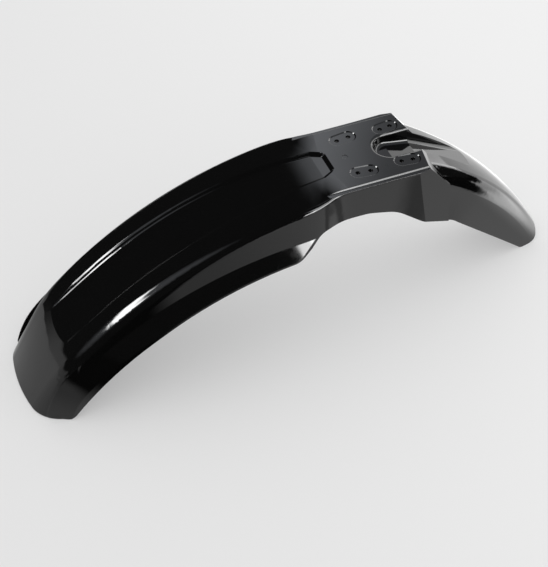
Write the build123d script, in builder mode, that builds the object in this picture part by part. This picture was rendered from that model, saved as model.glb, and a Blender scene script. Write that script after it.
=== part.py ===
"""Motocross front mudguard, moulded in one piece.

The frame has +X forward, +Y left and +Z up. The origin is the centre of the front bolt square,
on the flat top of the plate that bolts under the fork clamp. Millimetres.
"""
import os
from math import ceil, cos, degrees, radians, sin, sqrt, tan

from build123d import *

os.makedirs("parts", exist_ok=True)

# Moulding
wall = 3.0                      # thickness of the shell
rim_run = 12.0                  # how far rounded rims are carried past their corners
rim_angle = 8.0                 # degrees at which rounded rims meet the faces around them
front_drop = 254.0              # plate top down to the front tip's edge
rear_drop = 235.0               # plate top down to the rear tip

# Bolt plate
plate_half_width = 65.0
plate_front = 55.0              # where the front blade leaves the plate
plate_rear_outer = -60.0        # rear edge of the plate at its outer corners
plate_rear_inner = -67.0        # rear edge beside the stem recess
plate_edge_radius = 5.0
plate_draft = 2.5               # degrees, side walls
pad_half_width = 60.0           # raised clamp pad
pad_height = 2.5
pad_slope = 65.0                # degrees, side faces of the pad
pad_foot_radius = 1.5
pad_rim_radius = 3.0
ramp_slope = 52.0               # degrees, drop behind the plate
plate_flare = 1.0               # side walls stand out by this much at the rear corners
bend_x = -43.5                  # where the side walls turn in behind the plate, at its top
bend_slope = 0.14               # the bend runs back by this share of its depth
bend_angle = 10.0               # degrees, in plan
skim = 0.2                      # stock on the clamp face before it is cut flat

# Bolt holes, in four pairs
hole_radius = 3.3
front_pattern = (64.0, 70.0)    # spacing along and across, front hole of each pair
rear_pattern = (62.0, 74.0)     # spacing along and across, rear hole of each pair
pattern_offset = 16.7           # rear pattern's centre behind the front one
seat_radius = 9.5               # floor of the shallow seat round each pair
seat_depth = 1.2
seat_slope = 40.0               # degrees, sides of the seats
boss_depth = 8.0                # plastic under the seats
boss_draft = 3.0
gate_radius = 4.0               # moulding gate mark on the centre line
gate_depth = 0.5
gate_x = 35.5

# Recess for the steering stem, running out along the rear blade
stem_radius = 23.0              # at the top of the plate
stem_x = -31.0                  # centre of its round front end
stem_depth = 15.0               # at the front end
stem_depth_rear = 21.0          # at the rear edge of the plate
stem_draft = 12.0               # degrees, side walls
stem_floor_radius = 6.0
stem_rim_radius = 5.0
stem_run_out = -152.0           # where its floor meets the rear blade

# Front blade
blade_radius = 560.0            # arc of the ridges in side view
blade_sweep = 62.0              # degrees swept from the plate to past the tip
blade_half_width = 76.0
blade_waist = 68.0              # length over which the walls spread from plate to blade
blade_sag = (5.0, 1.0)          # shoulders below the ridges, at the waist and at the tip
blade_edge_radius = (5.0, 30.0)
blade_draft = 8.0

# Rounded tip of the front blade
tip_sweep = (44.0, 60.0)        # degrees of sweep over which the blade rounds off
tip_drop = 8.0
tip_half_width = 82.0
tip_sag = 14.0
tip_edge_radius = 52.0
tip_draft = 10.0
tip_lip_drop = 30.0             # the lips sink into the rounding by this much, late and quickly

# Lips along the front blade
lip_crease_radius = 515.0       # side view arcs of the lip's crease and of its free edge
lip_crease_centre = (102.0, -568.5)
lip_edge_radius = 472.0
lip_edge_centre = (92.0, -544.0)
lip_rim = 3.0                   # height of the rim turned down along the lips
lip_plan = (                    # plan view: corner and rounding, from the rear end forward
    ((68.0, 60.0), 0.0),
    ((138.0, 95.0), 40.0),
    ((335.0, 95.0), 500.0),
    ((488.0, 88.0), 35.0),
    ((521.0, 28.0), 0.0),
)
lip_rear = 138.0                # rear end of the free edge

# Sunken channel between the ridges
channel_rear = 3.0              # its rear end, ahead of the plate
channel_corner = 18.0           # length of the slanted rear corners
channel_half_width = (16.0, 23.0, 34.0)     # floor at the rear end, past the corners, along the blade
channel_widening = 260.0
channel_depth = 4.5
channel_slope = 45.0            # degrees, side and end walls
channel_floor_radius = 3.0
channel_rim_radius = 5.0
channel_lift = 1.2              # height above the blade to which it fades
channel_fade = (375.0, 480.0)   # length along the blade over which it runs out

# Rear blade
tail_radius = 530.0
tail_centre = (194.0, -466.0)
tail_start = 29.0               # degrees behind vertical
tail_sweep = 36.0
tail_half_width = (64.0, 32.0)
tail_narrowing = 1.5            # how early it narrows; 1 is evenly
tail_sag = 7.0
tail_edge_radius = (26.0, 22.0)
tail_draft = (3.0, 11.0)
tail_draft_run = 0.4            # share of its length over which its walls lean out
tail_end = -268.0
tail_tip_half_width = 36.0      # end of the tip in plan, before rounding
tail_tip_taper = 29.0           # degrees
tail_tip_radius = 22.0

# Lower outline, side view: each corner is a point and its rounding
lip_tip_radius = 18.0           # front corners of the lips
lip_heel_radius = 40.0          # rear corners of the lips
outline_corners = (
    ((116.0, -64.0), 20.0),     # lips' rear end
    ((101.0, -46.5), 22.0),     # arch over the fork legs
    ((27.0, -48.5), 60.0),
    ((-14.0, -59.0), 60.0),
    ((-54.0, -90.5), 40.0),     # rear blade
    ((-105.0, -112.5), 40.0),
    ((-205.0, -204.5), 150.0),
    ((-238.0, -rear_drop), 12.0),
    ((tail_end, -rear_drop), 17.0),
)

# Construction
section_step = 30.0             # spacing of the lofted sections
body_depth = 150.0              # how deep they reach below the skin
tail_depth = 110.0
plate_overlap = 30.0            # how far the plate runs on inside the rear blade
lip_overlap = 12.0              # how far the lips run on inside the front blade
lip_reach = 48.0                # their width before they are trimmed in plan
least_radius = 1.0              # rounding left on the inside where the outside is nearly sharp


def mix(pair, share):
    """A value between two ends."""
    return pair[0] + (pair[1] - pair[0]) * share


def ease(share):
    """A smooth step from 0 to 1."""
    share = min(max(share, 0.0), 1.0)
    return share * share * (3 - 2 * share)


def station(centre, radius, angle):
    """A section plane on an arc, angle degrees forward of vertical; local X is +Y, local Y points out."""
    lean = radians(angle)
    point = (centre[0] + radius * sin(lean), 0, centre[1] + radius * cos(lean))
    return Plane(origin=point, x_dir=(0, 1, 0), z_dir=(cos(lean), 0, -sin(lean)))


def reach(centre, radius, start, angle):
    """Distance from start to an arc of the side view, along a line angle degrees forward of vertical."""
    across = centre[0] - start[0]
    up = centre[1] - start[1]
    along = across * sin(radians(angle)) + up * cos(radians(angle))
    return along + sqrt(along**2 - across**2 - up**2 + radius**2)


def hoop(plane, half_width, sag, edge_radius, draft, depth, inset):
    """A section of the body: crowned top, rounded edges, drafted walls, all taken in by inset."""
    slope = 2 * sag / half_width
    lean = radians(draft)
    share = inset / cos(slope + lean)
    edge = half_width - share * (cos(slope) - sin(lean))
    edge_drop = sag + share * (cos(lean) - sin(slope))
    depth = depth + inset
    foot = edge + tan(lean) * (depth - edge_drop)
    with BuildSketch(plane) as section:
        with BuildLine():
            ThreePointArc((-edge, -edge_drop), (0, -inset), (edge, -edge_drop))
            Polyline((edge, -edge_drop), (foot, -depth), (-foot, -depth), (-edge, -edge_drop))
        make_face()
        fillet(section.vertices().group_by(Axis.Y)[-1], max(edge_radius - inset, least_radius))
    return section.sketch


blade_centre = (plate_front, -blade_radius)
blade_length = blade_radius * radians(blade_sweep)
plate_length = plate_front - plate_rear_inner + plate_overlap
tail_length = tail_radius * radians(tail_sweep)


def runs(start, end):
    """Even distances along a blade, about section_step apart."""
    count = ceil((end - start) / section_step)
    return [start + (end - start) * i / count for i in range(count + 1)]


def blade_plane(run, lift=0.0):
    """Section plane at a distance ahead of the plate's front along the ridges; behind it is negative."""
    if run < 0:
        return Plane(origin=(plate_front + run, 0, lift), x_dir=(0, 1, 0), z_dir=(1, 0, 0))
    return station(blade_centre, blade_radius + lift, degrees(run / blade_radius))


def blade_spread(run):
    """How far the walls have spread from plate to blade."""
    return ease(run / blade_waist)


def blade_width(run):
    """Half width across the shoulders."""
    flare = plate_flare * ease((run + plate_front) / plate_rear_outer)
    return mix((plate_half_width + flare, blade_half_width), blade_spread(run))


def tip_share(run):
    """How far the blade has rounded off into its tip."""
    return ease((degrees(run / blade_radius) - tip_sweep[0]) / (tip_sweep[1] - tip_sweep[0]))


def front_form(inset):
    """Front blade and plate, lofted from behind the plate to past the tip."""
    sections = []
    for run in runs(inset - plate_length, blade_length):
        spread = blade_spread(run)
        along = max(run, 0) / blade_length
        tip = tip_share(run)
        half_width = mix((blade_width(run), tip_half_width), tip)
        sag = mix((skim / 2 + spread * mix(blade_sag, along), tip_sag), tip)
        edge_radius = mix((plate_edge_radius, mix(blade_edge_radius, along)), spread)
        edge_radius = mix((edge_radius, tip_edge_radius), tip)
        draft = mix((mix((plate_draft, blade_draft), spread), tip_draft), tip)
        plane = blade_plane(run, skim - tip_drop * tip)
        sections.append(hoop(plane, half_width, sag, edge_radius, draft, body_depth, inset))
    with BuildPart() as form:
        loft(sections)
    return form.part


def lip_form(inset):
    """Left lip of the front blade, solid from its top face down, with the rim as its side."""
    sections = []
    for run in runs(section_step, blade_length):
        angle = degrees(run / blade_radius)
        crease = reach(lip_crease_centre, lip_crease_radius, blade_centre, angle) - blade_radius
        edge = reach(lip_edge_centre, lip_edge_radius + lip_rim, blade_centre, angle) - blade_radius
        root = blade_width(run) - tan(radians(blade_draft)) * crease
        outward = Vector(lip_plan[1][0][1] - root, edge - crease).normalized()
        start = Vector(root, crease - tip_lip_drop * tip_share(run) ** 2)
        start = start + Vector(outward.Y, -outward.X) * inset
        inner = start - outward * lip_overlap
        outer = start + outward * lip_reach
        with BuildSketch(blade_plane(run)) as section:
            with BuildLine():
                Polyline(inner, outer, (outer.X, -body_depth), (inner.X, -body_depth), close=True)
            make_face()
        sections.append(section.sketch)
    with BuildPart() as form:
        loft(sections)
        with BuildSketch(Plane.XY.offset(-2 * blade_radius)):
            with BuildLine():
                edge_line = FilletPolyline(
                    *[corner for corner, radius in lip_plan],
                    radius=[radius for corner, radius in lip_plan[1:-1]],
                )
                Polyline(edge_line @ 1, ((edge_line @ 1).X, 0), ((edge_line @ 0).X, 0), edge_line @ 0)
            make_face()
            if inset:
                offset(amount=-inset, kind=Kind.INTERSECTION, mode=Mode.REPLACE)
        extrude(amount=3 * blade_radius, mode=Mode.INTERSECT)
    return form.part


def tail_form(inset):
    """Rear blade, lofted from inside the plate to past its tip."""
    sections = []
    for run in runs(0, tail_length):
        along = run / tail_length
        plane = station(tail_centre, tail_radius, -tail_start - tail_sweep * along)
        half_width = mix(tail_half_width, 1 - (1 - along) ** tail_narrowing)
        draft = mix(tail_draft, ease(along / tail_draft_run))
        edge_radius = mix(tail_edge_radius, along)
        sections.append(hoop(plane, half_width, tail_sag, edge_radius, draft, tail_depth, inset))
    with BuildPart() as form:
        loft(sections)
    return form.part


def rounded_step(foot, height, slope, foot_radius, rim_radius, inset):
    """Corners and roundings of a step in a profile: its foot, its rim and a line leaving the rim.

    The step climbs to the right. All of it is taken in by inset, downwards and to the right, and
    the inside of the shell has plain corners.
    """
    lines = [radians(angle) for angle in (0, slope, rim_angle)]
    down = [Vector(sin(angle), -cos(angle)) for angle in lines]
    rim = foot + Vector(height / tan(lines[1]), height)
    foot = foot + (down[0] + down[1]) * (inset / (1 + down[0].dot(down[1])))
    rim = rim + (down[1] + down[2]) * (inset / (1 + down[1].dot(down[2])))
    leave = rim + Vector(cos(lines[2]), sin(lines[2])) * rim_run
    radii = (0, 0, 0) if inset else (foot_radius, rim_radius, 0)
    return (foot, rim, leave), radii


def channel_section(run, floor, depth, inset):
    """Section of the channel, open upwards, with its rims rounded into the blade."""
    spread = floor + channel_depth
    level = skim - blade_spread(run) * blade_sag[0] * (spread / blade_half_width) ** 2
    height = channel_depth + level
    points, radii = rounded_step(
        Vector(floor, -depth), height, channel_slope, channel_floor_radius, channel_rim_radius, inset
    )
    top = Vector(points[2].X, points[2].Y + body_depth)
    right = list(points) + [top]
    left = [Vector(-point.X, point.Y) for point in reversed(right)]
    with BuildSketch(blade_plane(run)) as section:
        with BuildLine():
            FilletPolyline(*left, *right, radius=[*reversed(radii), *radii])
            Line(right[-1], left[0])
        make_face()
    return section.sketch


def channel_form(inset):
    """Room of the sunken channel: sloping end, slanted corners, then widening and fading out."""
    slope = radians(channel_slope)
    corner = channel_rear + channel_corner
    foot = channel_rear + channel_depth / tan(slope)
    top = foot - (channel_depth + channel_lift) / tan(slope)
    back = inset * tan(slope / 2)
    rear = channel_section(foot - back, channel_half_width[0], channel_depth, inset)
    above = channel_section(top - back, channel_half_width[0], -channel_lift, inset)
    sections = []
    for run in runs(corner, channel_fade[1]):
        along = min((run - corner) / channel_widening, 1)
        floor = mix(channel_half_width[1:], 1 - (1 - along) ** 2)
        fade = ease((run - channel_fade[0]) / (channel_fade[1] - channel_fade[0]))
        depth = mix((channel_depth, -channel_lift), fade)
        sections.append(channel_section(run, floor, depth, inset))
    with BuildPart() as form:
        loft(sections)
        loft([rear, sections[0]], ruled=True)
        loft([above, rear], ruled=True)
    return form.part


def stem_section(plane, floor, depth, inset, sides=(-1, 1)):
    """Section of the stem recess: rounded floor, drafted walls, open upwards."""
    lean = radians(stem_draft)
    floor = floor + inset * (1 / cos(lean) - tan(lean))
    depth = depth + inset
    rim = floor + tan(lean) * (depth + body_depth)
    low, high = [side * floor for side in sides]
    low_rim, high_rim = [side * rim for side in sides]
    with BuildSketch(plane) as section:
        with BuildLine():
            Polyline(
                (low, -depth),
                (high, -depth),
                (high_rim, body_depth),
                (low_rim, body_depth),
                close=True,
            )
        make_face()
        if not inset:
            corners = section.vertices().group_by(Axis.Y)[0]
            fillet(corners.filter_by(lambda corner: abs(corner.X) > 0), stem_floor_radius)
    return section.sketch


def stem_form(inset):
    """Room of the stem recess: a trough with a round front end, running out along the rear blade."""
    lean = tan(radians(stem_draft))
    run_out = tail_centre[1] + sqrt(tail_radius**2 - (stem_run_out - tail_centre[0]) ** 2)
    front_floor = stem_radius - lean * stem_depth
    rear_floor = stem_radius - lean * stem_depth_rear
    places = (
        (stem_x, front_floor, stem_depth),
        (plate_rear_inner, rear_floor, stem_depth_rear),
        (stem_run_out, rear_floor, -run_out),
    )
    sections = []
    for x, floor, depth in places:
        plane = Plane(origin=(x, 0, 0), x_dir=(0, 1, 0), z_dir=(1, 0, 0))
        sections.append(stem_section(plane, floor, depth, inset))
    turn = Plane(origin=(stem_x, 0, 0), x_dir=(1, 0, 0), z_dir=(0, -1, 0))
    with BuildPart() as form:
        add(stem_section(turn, front_floor, stem_depth, inset, sides=(0, 1)))
        revolve(axis=Axis((stem_x, 0, 0), (0, 0, 1)))
        loft(sections[:2], ruled=True)
        loft(sections[1:], ruled=True)
    return form.part


def ramp_room(inset):
    """Room behind the left half of the plate, above the ramp."""
    slant = (plate_rear_outer - plate_rear_inner) / (plate_half_width - stem_radius)
    fall = body_depth / tan(radians(ramp_slope))
    sections = []
    for y in (0, 2 * plate_half_width):
        edge = plate_rear_inner + slant * (y - stem_radius) + inset / sin(radians(ramp_slope))
        with BuildSketch(Plane.XZ.offset(-y)) as section:
            with BuildLine():
                Polyline(
                    (edge + fall, body_depth),
                    (edge - fall, -body_depth),
                    (edge - 4 * fall, -body_depth),
                    (edge - 4 * fall, body_depth),
                    close=True,
                )
            make_face()
        sections.append(section.sketch)
    with BuildPart() as form:
        loft(sections, ruled=True)
        mirror(about=Plane.XZ)
    return form.part


def ledge_room(inset):
    """Room over the left ledge beside the raised pad."""
    points, radii = rounded_step(
        Vector(-pad_half_width, -pad_height), pad_height, pad_slope, pad_foot_radius, pad_rim_radius, inset
    )
    side = -4 * plate_half_width
    plane = Plane(origin=(-2 * plate_length, 0, 0), x_dir=(0, -1, 0), z_dir=(-1, 0, 0))
    with BuildPart() as form:
        with BuildSketch(plane):
            with BuildLine():
                FilletPolyline((side, points[0].Y), *points[:2], points[2], radius=radii[:2])
                Polyline(points[2], (points[2].X, body_depth), (side, body_depth), (side, points[0].Y))
            make_face()
        extrude(amount=-4 * plate_length)
    return form.part


def pairs():
    """Front and rear hole of each bolt pair."""
    places = []
    for end in (1, -1):
        for side in (1, -1):
            front = Vector(end * front_pattern[0] / 2, side * front_pattern[1] / 2)
            rear = Vector(end * rear_pattern[0] / 2 - pattern_offset, side * rear_pattern[1] / 2)
            places.append((front, rear))
    return places


def seat_room(inset):
    """Shallow round-ended seats round the bolt pairs; inside the shell, the room that their bosses fill."""
    depth = boss_depth + seat_depth if inset else seat_depth
    height = depth + seat_depth
    taper = -boss_draft if inset else seat_slope - 90
    with BuildPart() as form:
        with BuildSketch(Plane.XY.offset(-depth)):
            for front, rear in pairs():
                SlotCenterPoint((front + rear) / 2, front, 2 * (seat_radius + inset))
        extrude(amount=height, taper=taper)
    return form.part


def corner_room(inset):
    """Room outside the left wall behind the bend at the plate's rear corner."""
    length = 2 * plate_half_width
    sections = []
    for z in (body_depth, -body_depth):
        x = bend_x + bend_slope * z
        y = plate_half_width + plate_flare - tan(radians(plate_draft)) * z
        y = y - inset / cos(radians(bend_angle))
        with BuildSketch(Plane.XY.offset(z)) as section:
            with BuildLine():
                Polyline(
                    (x, y),
                    (x - length, y - length * tan(radians(bend_angle))),
                    (x - length, y + length),
                    (x, y + length),
                    close=True,
                )
            make_face()
        sections.append(section.sketch)
    with BuildPart() as form:
        loft(sections, ruled=True)
    return form.part


def mudguard_form(inset):
    """The whole body as a solid, with every face taken in by inset."""
    lip = lip_form(inset)
    ledge = ledge_room(inset)
    corner = corner_room(inset)
    with BuildPart() as form:
        add(front_form(inset))
        add(ramp_room(inset), mode=Mode.SUBTRACT)
        add(corner, mode=Mode.SUBTRACT)
        add(corner.mirror(Plane.XZ), mode=Mode.SUBTRACT)
        add(tail_form(inset))
        add(lip)
        add(lip.mirror(Plane.XZ))
        add(channel_form(inset), mode=Mode.SUBTRACT)
        add(stem_form(inset), mode=Mode.SUBTRACT)
        with Locations((plate_front, 0, -inset)):
            Box(
                2 * plate_length,
                4 * plate_half_width,
                body_depth,
                align=(Align.CENTER, Align.CENTER, Align.MIN),
                mode=Mode.SUBTRACT,
            )
        if not inset:
            top = form.faces().filter_by(Plane.XY).sort_by(Axis.Z)[-1]
            rim = top.edges().filter_by_position(Axis.Y, -stem_radius, stem_radius)
            rim = rim.filter_by_position(Axis.X, plate_rear_inner, stem_x + 2 * stem_radius)
            fillet(rim, stem_rim_radius)
        add(ledge, mode=Mode.SUBTRACT)
        add(ledge.mirror(Plane.XZ), mode=Mode.SUBTRACT)
        add(seat_room(inset), mode=Mode.SUBTRACT)
        extrude(outline(), amount=4 * plate_half_width, mode=Mode.INTERSECT)
        extrude(plan(), amount=2 * blade_radius, mode=Mode.INTERSECT)
    return form.part


def outline():
    """Side view of the finished part, down to its lower edges."""
    lip_rear_z = lip_edge_centre[1] + sqrt(lip_edge_radius**2 - (lip_rear - lip_edge_centre[0]) ** 2)
    lip_tip_x = lip_edge_centre[0] + sqrt(lip_edge_radius**2 - (front_drop + lip_edge_centre[1]) ** 2)
    lip_rear_point = (lip_rear, lip_rear_z)
    lip_tip_point = (lip_tip_x, -front_drop)
    front = plate_front + blade_radius
    corners = [corner for corner, radius in outline_corners]
    with BuildSketch(Plane.XZ.offset(-2 * plate_half_width)) as view:
        with BuildLine():
            FilletPolyline(
                lip_rear_point,
                *corners,
                (tail_end, body_depth),
                radius=[radius for corner, radius in outline_corners],
            )
            Polyline((tail_end, body_depth), (front, body_depth), (front, -front_drop), lip_tip_point)
            RadiusArc(lip_tip_point, lip_rear_point, -lip_edge_radius)
        make_face()
        fillet(view.vertices().sort_by_distance(lip_tip_point)[0], lip_tip_radius)
        fillet(view.vertices().sort_by_distance(lip_rear_point)[0], lip_heel_radius)
    return view.sketch


def plan():
    """Plan view of the finished part, with the rear tip's rounded end."""
    front = plate_front + blade_radius
    side = 2 * plate_half_width
    rear = tail_end + (side - tail_tip_half_width) / tan(radians(tail_tip_taper))
    with BuildSketch(Plane.XY.offset(-blade_radius)) as view:
        with BuildLine():
            FilletPolyline(
                (front, side),
                (rear, side),
                (tail_end, tail_tip_half_width),
                (tail_end, -tail_tip_half_width),
                (rear, -side),
                (front, -side),
                radius=(0, tail_tip_radius, tail_tip_radius, 0),
            )
            Line((front, -side), (front, side))
        make_face()
    return view.sketch


with BuildPart() as mudguard:
    add(mudguard_form(0))
    add(mudguard_form(wall), mode=Mode.SUBTRACT)
    with BuildSketch(Plane.XY):
        for front, rear in pairs():
            with Locations(front, rear):
                Circle(hole_radius)
    extrude(amount=-stem_depth, mode=Mode.SUBTRACT)
    with BuildSketch(Plane.XY):
        with Locations((gate_x, 0)):
            Circle(gate_radius)
    extrude(amount=-gate_depth, mode=Mode.SUBTRACT)

mudguard.part.label = "mudguard"
export_step(mudguard.part, "parts/mudguard.step")
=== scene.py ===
import math

import bpy
from mathutils import Euler, Matrix, Vector


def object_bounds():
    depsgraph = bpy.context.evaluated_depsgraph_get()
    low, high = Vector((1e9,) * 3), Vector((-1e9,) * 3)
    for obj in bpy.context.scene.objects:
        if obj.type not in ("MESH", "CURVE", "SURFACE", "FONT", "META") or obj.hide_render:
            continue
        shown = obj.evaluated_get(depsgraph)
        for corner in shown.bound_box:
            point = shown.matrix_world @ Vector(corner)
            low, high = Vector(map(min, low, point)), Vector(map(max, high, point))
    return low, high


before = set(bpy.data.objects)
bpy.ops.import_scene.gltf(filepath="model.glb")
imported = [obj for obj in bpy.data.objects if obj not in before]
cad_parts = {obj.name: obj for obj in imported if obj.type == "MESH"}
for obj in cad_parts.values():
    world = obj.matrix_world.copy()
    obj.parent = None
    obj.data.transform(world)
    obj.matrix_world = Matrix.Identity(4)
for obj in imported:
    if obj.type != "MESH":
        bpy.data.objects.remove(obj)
cad_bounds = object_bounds()

# Lengths and places are in metres in the part's frame, angles in degrees, brightness with white as 1.
# An edge is a pair of values: where its patch has faded out, then where the patch is full.
# A span is a pair of values too, and goes with the two levels that are reached there.
# A line on the floor is a point of it and the bearing in which distance from it counts.
WHITE = (1, 1, 1, 1)

# Gloss-black moulded polypropylene
BLACK = (0.0022, 0.0022, 0.0022, 1)
PLASTIC_INDEX = 1.5
GRAIN_SCALE = 60.0
GRAIN_DETAIL = 3.0
GRAIN_SPAN = (0.3, 0.7)
GRAIN_ROUGHNESS_LEVELS = (0.045, 0.07)
SWELL_SCALE = 14.0
SWELL_DETAIL = 1.0
SWELL_STRENGTH = 0.05
SWELL_HEIGHT = 0.002

# Softened corners: none on the tail, and smaller ones on the bolt plate
CORNER_RADIUS = 0.0009
PLATE_CORNER_RADIUS = 0.0003
CORNER_SAMPLES = 12
TAIL_EDGE = (-0.088, -0.080)
PLATE_SIDE_EDGE = (0.056, 0.052)
PLATE_LOWER_EDGE = (-0.012, -0.006)
PLATE_FRONT_EDGE = (0.062, 0.050)

# Paper floor, which leans so that both tips rest on it
FRONT_REST_X = 0.460
REAR_REST_X = -0.250
REAR_REST_RISE = 0.019
FLOOR_GAP = 0.0006
FLOOR_SIZE = 30
PAPER_GREY = (0.80, 0.80, 0.80, 1)
PAPER_ROUGHNESS = 0.9
PAPER_SPECULAR = 0.0
# Painted light on the paper: a glow for camera rays, brighter toward the rear
PAPER_GLOW_SPAN = (0.7, -0.7)
PAPER_GLOW_LEVELS = (0.74, 1.0)
PAPER_GLOW_SHARE = 0.4

# Painted reflection: floor ahead of the front tip, glowing for glossy rays only
AHEAD_SPAN = (0.05, 0.20)
AHEAD_LEVELS = (0.73, 0.50)
AHEAD_REAR_LINE = (0.42, 0.0, 36.87)
AHEAD_REAR_EDGE = (-0.25, 0.05)
AHEAD_NEAR_LINE = (0.42, 0.0, 139.01)
AHEAD_NEAR_EDGE = (0.10, 0.045)

# Painted reflection: floor on the near side, glowing for glossy rays only, with a painted dark strip
# across it
BESIDE_SPAN = (-0.1, 0.25)
BESIDE_LEVELS = (0.97, 0.52)
BESIDE_FRONT_EDGE = (0.33, 0.26)
BESIDE_FAR_EDGE = (-0.02, 0.04)
SEAM_LINE = (-0.33, 0.10, 17.53)
BESIDE_REAR_EDGE = (-0.03, 0.02)
STRIP_LINE = (-0.119, 0.283, 211.94)
STRIP_FRONT_EDGE = (-0.014, 0.014)
STRIP_REAR_EDGE = (0.060, 0.034)
STRIP_DARKNESS = 0.50

# Painted reflection: floor behind the tail, glowing for glossy rays only, with a painted glare on its
# near part, dark again far off
BEHIND_LEVEL = 1.4
BEHIND_NEAR_LINE = (-0.45, 0.20, 262.12)
BEHIND_NEAR_EDGE = (-0.03, 0.05)
BEHIND_FRONT_EDGE = (0.06, -0.03)
GLARE_SPAN = (-0.9, -0.4)
GLARE_LEVELS = (1.0, 3.2)
GLARE_LINE = (-0.37, 0.02, 109.89)
GLARE_EDGE = (-0.05, 0.06)
DISTANT_FRONT_EDGE = (-1.4, -2.2)
DISTANT_LINE = (0.0, 0.0, 106.68)
DISTANT_FAR_EDGE = (-0.2, 0.2)

# Painted reflection: floor on the far side, glowing for glossy rays only
BEYOND_LEVEL = 0.8
BEYOND_NEAR_EDGE = (-0.08, -0.16)
BEYOND_FAR_EDGE = (-0.9, -0.6)
BEYOND_FRONT_EDGE = (0.45, 0.30)
BEYOND_REAR_EDGE = (-0.40, -0.30)

# Mirrored room. Directions in it are told by their height and by the cosine of the bearing off an axis.
ROOM_LEVEL = 0.03
COOL_WHITE = (0.95, 0.985, 1.05, 1)
REARWARD = 180
LEFTWARD = 90

# Pale screen over the rear half: a cool upper part, a white lower part and a shaded foot
SCREEN_FRONT_EDGE = (0.20, 0.43)
SCREEN_TOP_EDGE = (0.98, 0.90)
UPPER_SPAN = (0.40, 0.475)
UPPER_LEVELS = (2.0, 0.58)
UPPER_FOOT_EDGE = (0.50, 0.62)
LOWER_LEVEL = 2.2
LOWER_TOP_EDGE = (0.62, 0.50)
REAR_LEVEL = 2.4
REAR_SIDE_EDGE = (0.82, 0.90)
REAR_TOP_EDGE = (0.44, 0.38)
SHADED_SIDE_EDGE = (0.90, 0.96)
SHADED_TOP_EDGE = (0.235, 0.20)

# Lights on the near side toward the rear: a window with a brighter lower pane, and a narrow strip
NEAR_SIDE_EDGE = (0.10, 0.20)
WINDOW_LEVEL = 4.5
WINDOW_FRONT_EDGE = (0.26, 0.34)
WINDOW_REAR_EDGE = (0.70, 0.60)
WINDOW_FOOT_EDGE = (0.20, 0.30)
WINDOW_TOP_EDGE = (0.93, 0.86)
PANE_LEVEL = 8.0
PANE_TOP_EDGE = (0.53, 0.46)
STRIP_LIGHT_LEVEL = 17.0
STRIP_LIGHT_FRONT_EDGE = (0.197, 0.210)
STRIP_LIGHT_REAR_EDGE = (0.36, 0.30)
STRIP_LIGHT_FOOT_EDGE = (0.24, 0.32)
STRIP_LIGHT_TOP_EDGE = (0.53, 0.49)

# Light ahead with a cool halo, and a pale sweep low down
FRONT_LIGHT_LEVEL = 25.0
FRONT_LIGHT_BEARING = -6.5
FRONT_LIGHT_SIDE_EDGE = (0.88, 0.93)
FRONT_LIGHT_FOOT_EDGE = (0.51, 0.58)
FRONT_LIGHT_TOP_EDGE = (0.73, 0.66)
HALO_LEVEL = 0.8
HALO_CENTRE = (0.69, -0.02, 0.72)
HALO_EDGE = (0.84, 0.995)
SWEEP_LEVEL = 0.50
SWEEP_BEARING = -15
SWEEP_SIDE_EDGE = (0.84, 0.92)
SWEEP_TOP_EDGE = (0.09, 0.05)

# Level light all round, and a weak lamp overhead
FILL_LEVEL = 0.95
LAMP_LEVEL = 0.25
LAMP_SIDE = 3.0
LAMP_PLACE = Vector((0.0, -0.3, 2.6))
LAMP_AIM = Vector((0.1, 0, -0.2))

# Camera, with the photograph's height and focal length in pixels and the sensor in millimetres
CAMERA_PLACE = (0.73408, 1.46401, 1.41276)
CAMERA_TILT = 44.566
CAMERA_HEADING = 157.840
CAMERA_REACH = 100
PHOTO_HEIGHT = 567
PHOTO_FOCAL_LENGTH = 1600
PHOTO_SHIFT = -5.5
SENSOR_SIZE = 36.0


def toward_bearing(bearing):
    """The level direction at a bearing, counted from forward to the left."""
    angle = math.radians(bearing)
    return (math.cos(angle), math.sin(angle), 0)


class Graph:
    """Short names for building a node tree."""

    def __init__(self, tree):
        self.tree = tree

    def put(self, kind, *values, **settings):
        """Add a node; values go to its first sockets, as links or as constants."""
        node = self.tree.nodes.new("ShaderNode" + kind)
        for name, value in settings.items():
            setattr(node, name, value)
        for socket, value in zip(node.inputs, values):
            self.feed(socket, value)
        return node

    def feed(self, socket, value):
        """Link a socket to another one, or set it to a constant."""
        if isinstance(value, bpy.types.NodeSocket):
            self.tree.links.new(value, socket)
        else:
            socket.default_value = value

    def chain(self, operation, terms):
        """Join terms, from the first to the last, by one arithmetic operation."""
        total = terms[0]
        for term in terms[1:]:
            total = self.put("Math", total, term, operation=operation).outputs[0]
        return total

    def sum(self, *terms):
        return self.chain("ADD", terms)

    def product(self, *terms):
        return self.chain("MULTIPLY", terms)

    def rest(self, share):
        """What is left of 1 when a share is taken away."""
        return self.chain("SUBTRACT", (1.0, share))

    def dot(self, vector, axis):
        return self.put("VectorMath", vector, axis, operation="DOT_PRODUCT").outputs["Value"]

    def step(self, value, span, levels=(0.0, 1.0)):
        """A smooth change from one level to the other while a value crosses a span."""
        node = self.put("MapRange", value, *span, *levels, interpolation_type="SMOOTHSTEP")
        return node.outputs[0]

    def patch(self, level, *edges):
        """A level that fades out past soft edges, each given as a value and an edge on it."""
        return self.product(level, *[self.step(value, edge) for value, edge in edges])

    def off_line(self, place, line):
        """Distance of a place on the floor from a line there."""
        x, y, bearing = line
        shift = self.put("VectorMath", place, (x, y, 0), operation="SUBTRACT").outputs[0]
        return self.dot(shift, toward_bearing(bearing))

    def noise(self, place, scale, detail):
        """A smooth random pattern, mostly between 0.3 and 0.7."""
        node = self.put("TexNoise", place)
        node.inputs["Scale"].default_value = scale
        node.inputs["Detail"].default_value = detail
        return node.outputs[0]


def material(name):
    """A new material, with its graph and its main shader."""
    made = bpy.data.materials.new(name)
    made.use_nodes = True
    return made, Graph(made.node_tree), made.node_tree.nodes["Principled BSDF"]


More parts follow.
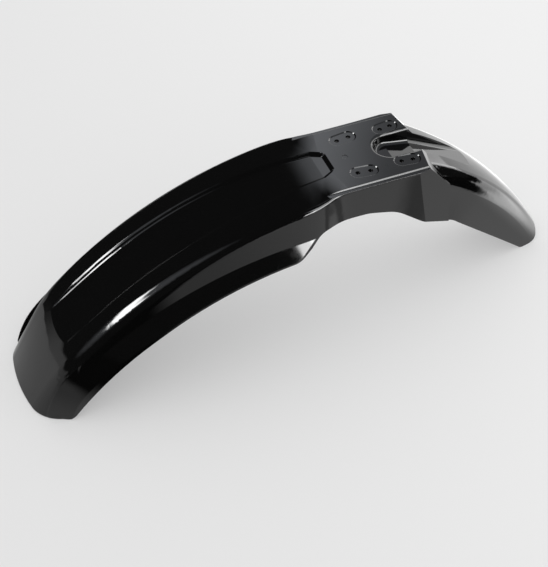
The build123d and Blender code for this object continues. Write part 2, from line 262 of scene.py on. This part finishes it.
def black_plastic():
    """Gloss black with softened corners, a faint swell in the surface and slightly uneven gloss."""
    plastic, graph, shader = material("gloss_black_plastic")
    shader.inputs["Base Color"].default_value = BLACK
    shader.inputs["IOR"].default_value = PLASTIC_INDEX
    place = graph.put("TexCoord").outputs["Object"]
    grain = graph.noise(place, GRAIN_SCALE, GRAIN_DETAIL)
    graph.feed(shader.inputs["Roughness"], graph.step(grain, GRAIN_SPAN, GRAIN_ROUGHNESS_LEVELS))

    x, y, z = graph.put("SeparateXYZ", place).outputs
    aside = graph.put("Math", y, operation="ABSOLUTE").outputs[0]
    plate_change = graph.patch(
        PLATE_CORNER_RADIUS - CORNER_RADIUS,
        (aside, PLATE_SIDE_EDGE),
        (z, PLATE_LOWER_EDGE),
        (x, PLATE_FRONT_EDGE),
    )
    radius = graph.patch(graph.sum(CORNER_RADIUS, plate_change), (x, TAIL_EDGE))
    softened = graph.put("Bevel", radius, samples=CORNER_SAMPLES)

    bump = graph.put("Bump")
    bump.inputs["Strength"].default_value = SWELL_STRENGTH
    bump.inputs["Distance"].default_value = SWELL_HEIGHT
    graph.feed(bump.inputs["Height"], graph.noise(place, SWELL_SCALE, SWELL_DETAIL))
    graph.feed(bump.inputs["Normal"], softened.outputs[0])
    graph.feed(shader.inputs["Normal"], bump.outputs[0])
    return plastic


def painted_floor_reflections(graph):
    """Painted reflections: the floor's glow for glossy rays only, in patches ahead, beside, behind and
    beyond the part.
    """
    place = graph.put("NewGeometry").outputs["Position"]
    x, y, _ = graph.put("SeparateXYZ", place).outputs
    ahead = graph.patch(
        graph.step(y, AHEAD_SPAN, AHEAD_LEVELS),
        (graph.off_line(place, AHEAD_REAR_LINE), AHEAD_REAR_EDGE),
        (graph.off_line(place, AHEAD_NEAR_LINE), AHEAD_NEAR_EDGE),
    )

    # Painted dark strip in the floor's glow, which darkens a streak in the gloss of the near wall
    off_strip = graph.off_line(place, STRIP_LINE)
    strip = graph.patch(STRIP_DARKNESS, (off_strip, STRIP_FRONT_EDGE), (off_strip, STRIP_REAR_EDGE))
    off_seam = graph.off_line(place, SEAM_LINE)
    beside = graph.patch(
        graph.product(graph.step(x, BESIDE_SPAN, BESIDE_LEVELS), graph.rest(strip)),
        (x, BESIDE_FRONT_EDGE),
        (y, BESIDE_FAR_EDGE),
        (off_seam, BESIDE_REAR_EDGE),
    )

    # Painted glare in the floor's glow behind the tail
    glare = graph.patch(
        graph.step(x, GLARE_SPAN, GLARE_LEVELS),
        (graph.off_line(place, GLARE_LINE), GLARE_EDGE),
    )
    distant = graph.patch(
        graph.step(x, DISTANT_FRONT_EDGE),
        (graph.off_line(place, DISTANT_LINE), DISTANT_FAR_EDGE),
    )
    behind = graph.patch(
        graph.product(graph.sum(BEHIND_LEVEL, glare), graph.rest(distant)),
        (graph.off_line(place, BEHIND_NEAR_LINE), BEHIND_NEAR_EDGE),
        (off_seam, BEHIND_FRONT_EDGE),
    )

    beyond = graph.patch(
        BEYOND_LEVEL,
        (y, BEYOND_NEAR_EDGE),
        (y, BEYOND_FAR_EDGE),
        (x, BEYOND_FRONT_EDGE),
        (x, BEYOND_REAR_EDGE),
    )
    return graph.sum(ahead, beside, behind, beyond)


def pale_paper():
    """Pale paper that keeps the shadow, with a painted glow for camera rays that is brighter toward the
    rear; glossy rays see the painted floor reflections instead.
    """
    paper, graph, shader = material("pale_paper")
    shader.inputs["Base Color"].default_value = PAPER_GREY
    shader.inputs["Roughness"].default_value = PAPER_ROUGHNESS
    shader.inputs["Specular IOR Level"].default_value = PAPER_SPECULAR
    place = graph.put("NewGeometry").outputs["Position"]
    x = graph.put("SeparateXYZ", place).outputs["X"]
    # Painted light: the paper glows for camera rays, brighter toward the rear
    glow = graph.put("Emission", WHITE, graph.step(x, PAPER_GLOW_SPAN, PAPER_GLOW_LEVELS))
    ray = graph.put("LightPath").outputs
    glow_share = graph.product(PAPER_GLOW_SHARE, ray["Is Camera Ray"])
    seen = graph.put("MixShader", glow_share, shader.outputs[0], glow.outputs[0])
    # Painted reflections: the floor glows for glossy rays only
    mirrored = graph.put("Emission", WHITE, painted_floor_reflections(graph))
    mixed = graph.put("MixShader", ray["Is Glossy Ray"], seen.outputs[0], mirrored.outputs[0])
    graph.feed(paper.node_tree.nodes["Material Output"].inputs["Surface"], mixed.outputs[0])
    return paper


def leaning_floor():
    """A wide plane just under both tips."""
    ground = cad_bounds[0][2]
    tilt = math.atan2(REAR_REST_RISE, FRONT_REST_X - REAR_REST_X)
    bpy.ops.mesh.primitive_plane_add(
        size=FLOOR_SIZE, location=(FRONT_REST_X, 0, ground - FLOOR_GAP), rotation=(0, tilt, 0)
    )
    plane = bpy.context.object
    plane.name = "floor"
    plane.data.materials.append(pale_paper())
    return plane


def mirrored_room(graph):
    """The room in the gloss: a pale screen behind, lights on the near side and a light ahead."""
    toward = graph.put("TexCoord").outputs["Generated"]
    height = graph.put("SeparateXYZ", toward).outputs["Z"]
    flat = graph.put("VectorMath", toward, (1, 1, 0), operation="MULTIPLY").outputs[0]
    level_way = graph.put("VectorMath", flat, operation="NORMALIZE").outputs[0]
    aft = graph.dot(level_way, toward_bearing(REARWARD))
    left = graph.dot(level_way, toward_bearing(LEFTWARD))

    screen = graph.product(graph.step(aft, SCREEN_FRONT_EDGE), graph.step(height, SCREEN_TOP_EDGE))
    upper = graph.patch(graph.step(aft, UPPER_SPAN, UPPER_LEVELS), (height, UPPER_FOOT_EDGE))
    lower = graph.sum(
        graph.patch(LOWER_LEVEL, (height, LOWER_TOP_EDGE)),
        graph.patch(REAR_LEVEL, (aft, REAR_SIDE_EDGE), (height, REAR_TOP_EDGE)),
    )
    shaded = graph.product(graph.step(aft, SHADED_SIDE_EDGE), graph.step(height, SHADED_TOP_EDGE))
    lower_screen = graph.product(screen, lower, graph.rest(shaded))
    upper_screen = graph.product(screen, upper)

    panes = graph.sum(
        graph.patch(WINDOW_LEVEL, (height, WINDOW_TOP_EDGE)),
        graph.patch(PANE_LEVEL, (height, PANE_TOP_EDGE)),
    )
    window = graph.patch(
        panes,
        (left, NEAR_SIDE_EDGE),
        (aft, WINDOW_FRONT_EDGE),
        (aft, WINDOW_REAR_EDGE),
        (height, WINDOW_FOOT_EDGE),
    )
    strip_light = graph.patch(
        STRIP_LIGHT_LEVEL,
        (left, NEAR_SIDE_EDGE),
        (aft, STRIP_LIGHT_FRONT_EDGE),
        (aft, STRIP_LIGHT_REAR_EDGE),
        (height, STRIP_LIGHT_FOOT_EDGE),
        (height, STRIP_LIGHT_TOP_EDGE),
    )

    front_light = graph.patch(
        FRONT_LIGHT_LEVEL,
        (graph.dot(level_way, toward_bearing(FRONT_LIGHT_BEARING)), FRONT_LIGHT_SIDE_EDGE),
        (height, FRONT_LIGHT_FOOT_EDGE),
        (height, FRONT_LIGHT_TOP_EDGE),
    )
    halo = graph.patch(HALO_LEVEL, (graph.dot(toward, HALO_CENTRE), HALO_EDGE))
    sweep = graph.patch(
        SWEEP_LEVEL,
        (graph.dot(level_way, toward_bearing(SWEEP_BEARING)), SWEEP_SIDE_EDGE),
        (height, SWEEP_TOP_EDGE),
    )

    white_level = graph.sum(ROOM_LEVEL, sweep, window, strip_light, lower_screen, front_light)
    white_part = graph.put("Background", WHITE, white_level)
    cool_part = graph.put("Background", COOL_WHITE, graph.sum(upper_screen, halo))
    return graph.put("AddShader", white_part.outputs[0], cool_part.outputs[0])


def studio_world():
    """Level light all round; glossy rays see the mirrored room instead."""
    world = bpy.data.worlds.new("studio")
    world.use_nodes = True
    graph = Graph(world.node_tree)
    fill = graph.put("Background", WHITE, FILL_LEVEL)
    glossy = graph.put("LightPath").outputs["Is Glossy Ray"]
    mixed = graph.put("MixShader", glossy, fill.outputs[0], mirrored_room(graph).outputs[0])
    graph.feed(world.node_tree.nodes["World Output"].inputs["Surface"], mixed.outputs[0])
    return world


def overhead_lamp():
    """A wide weak lamp above the part, which isn't mirrored in it."""
    lamp = bpy.data.lights.new("overhead", "AREA")
    lamp.shape = "SQUARE"
    lamp.size = LAMP_SIDE
    lamp.energy = math.pi * LAMP_SIDE**2 * LAMP_LEVEL
    body = bpy.data.objects.new("overhead", lamp)
    bpy.context.collection.objects.link(body)
    body.location = LAMP_PLACE
    body.rotation_euler = (LAMP_AIM - LAMP_PLACE).to_track_quat("-Z", "Y").to_euler()
    body.visible_camera = False
    body.visible_glossy = False


def photo_camera():
    """A camera where the photograph was taken from."""
    view = bpy.data.cameras.new("photo_view")
    view.sensor_width = SENSOR_SIZE
    view.lens = SENSOR_SIZE * PHOTO_FOCAL_LENGTH / PHOTO_HEIGHT
    view.shift_y = PHOTO_SHIFT / PHOTO_HEIGHT
    view.clip_end = CAMERA_REACH
    camera = bpy.data.objects.new("photo_view", view)
    bpy.context.collection.objects.link(camera)
    turn = Euler((math.radians(CAMERA_TILT), 0, math.radians(CAMERA_HEADING)))
    camera.matrix_world = Matrix.Translation(CAMERA_PLACE) @ turn.to_matrix().to_4x4()
    return camera


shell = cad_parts["mudguard"]
shell.data.materials.clear()
shell.data.materials.append(black_plastic())

floor = leaning_floor()

bpy.context.scene.world = studio_world()
overhead_lamp()
bpy.context.scene.camera = photo_camera()
bpy.context.scene.view_settings.view_transform = "Standard"
